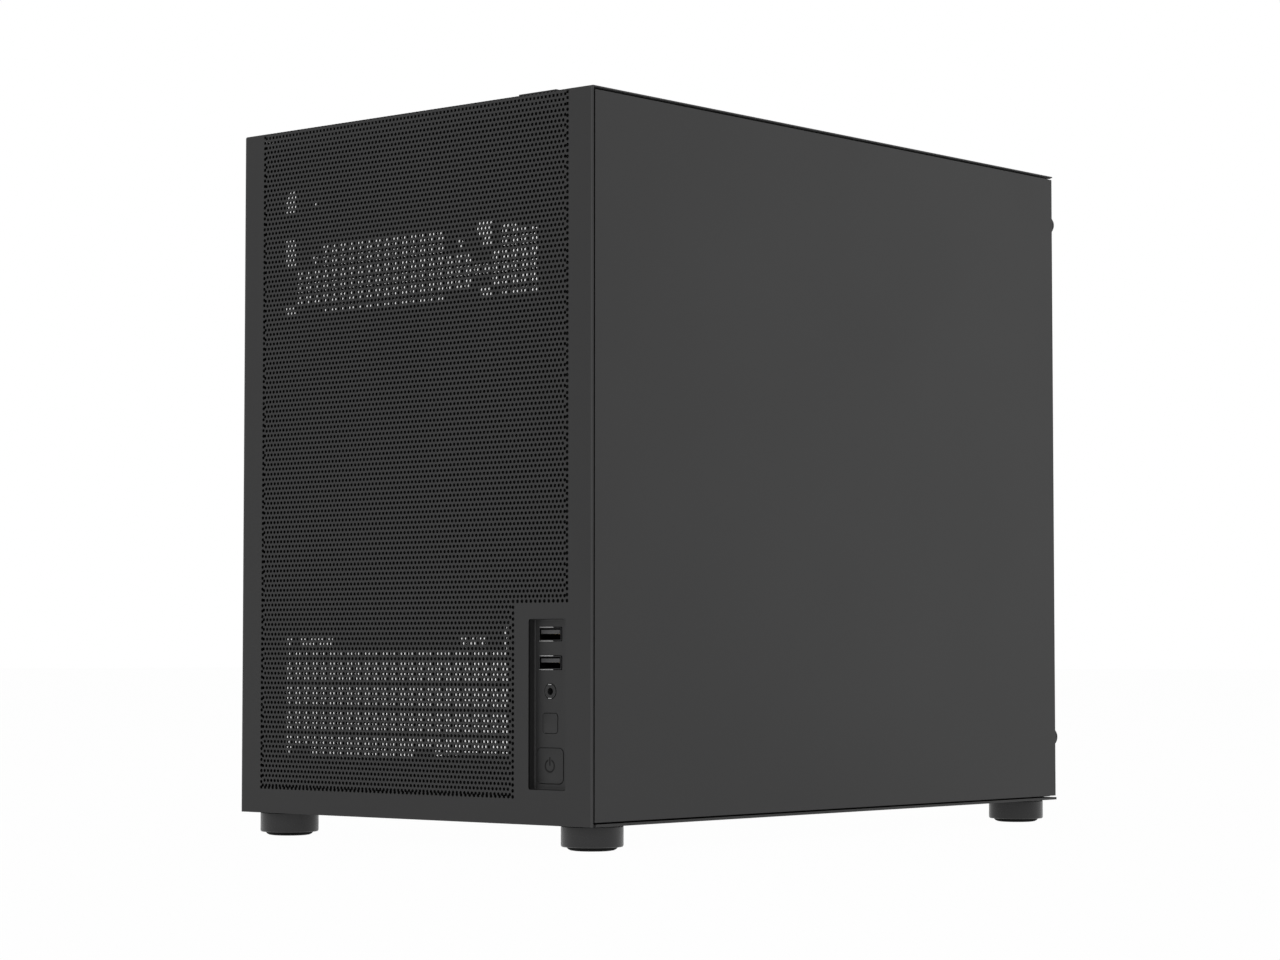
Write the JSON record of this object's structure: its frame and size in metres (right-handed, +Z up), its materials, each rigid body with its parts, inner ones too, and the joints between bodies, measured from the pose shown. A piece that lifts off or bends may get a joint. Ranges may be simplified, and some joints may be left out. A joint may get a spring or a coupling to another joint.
{
  "type": "micro atx pc case",
  "caption": "Small tower computer case with a perforated folded front and top, a solid side, a glass side, a recessed port column and round feet.",
  "frame": {"origin": "on the floor under the feet, at the middle of the overall width and length", "axes": "+Z up, -Y out of the perforated front, +X towards the solid side, to the right seen from the front"},
  "size_m": [0.22, 0.3672, 0.3309],
  "materials": {
    "black_powder_coat": "fine matt black powder coat",
    "black_steel": "satin black paint",
    "black_plastic": "satin moulded",
    "black_rubber": "matt",
    "bright_metal": "plated",
    "clear_glass": "clear, polished",
    "filter_sheet": "matt magnetic sheet",
    "brass": "turned",
    "circuit_board": "green solder mask"
  },
  "bodies": {
    "case": {"front_top_shell": "black_powder_coat", "bottom_plate": "black_powder_coat", "top_dust_filter": "filter_sheet", "chassis_base": "black_steel", "chassis_top": "black_steel", "inner_front_wall": "black_steel", "rear_wall": "black_steel", "motherboard_tray": "black_steel", "standoff_1": "brass", "standoff_2": "brass", "standoff_3": "brass", "standoff_4": "brass", "standoff_5": "brass", "standoff_6": "brass", "slot_cover_1": "black_steel", "slot_cover_2": "black_steel", "slot_cover_3": "black_steel", "slot_cover_4": "black_steel", "slot_screw_1": "bright_metal", "slot_screw_2": "bright_metal", "slot_screw_3": "bright_metal", "slot_screw_4": "bright_metal", "slot_ledge": "black_steel", "power_inlet": "black_plastic", "supply_bracket": "black_steel", "drive_bracket": "black_steel", "io_bezel": "black_plastic", "io_board": "circuit_board", "usb_shell_upper": "bright_metal", "usb_shell_lower": "bright_metal", "usb_tongue_upper": "black_plastic", "usb_tongue_lower": "black_plastic", "audio_jack": "black_plastic", "power_switch": "black_plastic", "reset_switch": "black_plastic", "foot_front_left": "black_plastic", "foot_front_right": "black_plastic", "foot_rear_left": "black_plastic", "foot_rear_right": "black_plastic", "foot_pad_front_left": "black_rubber", "foot_pad_front_right": "black_rubber", "foot_pad_rear_left": "black_rubber", "foot_pad_rear_right": "black_rubber"},
    "right_side": {"right_panel": "black_powder_coat"},
    "left_side": {"left_glass": "clear_glass", "left_panel_frame": "black_steel"},
    "power_cap": {"power_button": "black_plastic"},
    "reset_cap": {"reset_button": "black_plastic"},
    "screw_right_lower": {"thumbscrew_right_lower": "black_steel"},
    "screw_right_upper": {"thumbscrew_right_upper": "black_steel"},
    "screw_left_lower": {"thumbscrew_left_lower": "black_steel"},
    "screw_left_upper": {"thumbscrew_left_upper": "black_steel"}
  },
  "joints": [
    {"name": "power_button_press", "type": "slide", "parent": "case", "child": "power_cap", "axis": [0, 1, 0], "range_m": [0, 0.0009], "stiffness_N_per_m": 800, "springref_m": -0.0003},
    {"name": "reset_button_press", "type": "slide", "parent": "case", "child": "reset_cap", "axis": [0, 1, 0], "range_m": [0, 0.0009], "stiffness_N_per_m": 800, "springref_m": -0.0003},
    {"name": "right_panel_slide", "type": "slide", "parent": "case", "child": "right_side", "axis": [0, 1, 0], "range_m": [0, 0.372]},
    {"name": "left_panel_slide", "type": "slide", "parent": "case", "child": "left_side", "axis": [0, 1, 0], "range_m": [0, 0.372]},
    {"name": "screw_right_lower_turn", "type": "hinge", "parent": "right_side", "child": "screw_right_lower", "pos_m": [0.101, 0.17345, 0.0425], "axis": [0, 1, 0], "continuous": true},
    {"name": "screw_right_upper_turn", "type": "hinge", "parent": "right_side", "child": "screw_right_upper", "pos_m": [0.101, 0.17345, 0.306], "axis": [0, 1, 0], "continuous": true},
    {"name": "screw_left_lower_turn", "type": "hinge", "parent": "left_side", "child": "screw_left_lower", "pos_m": [-0.101, 0.17345, 0.0425], "axis": [0, 1, 0], "continuous": true},
    {"name": "screw_left_upper_turn", "type": "hinge", "parent": "left_side", "child": "screw_left_upper", "pos_m": [-0.101, 0.17345, 0.306], "axis": [0, 1, 0], "continuous": true}
  ]
}
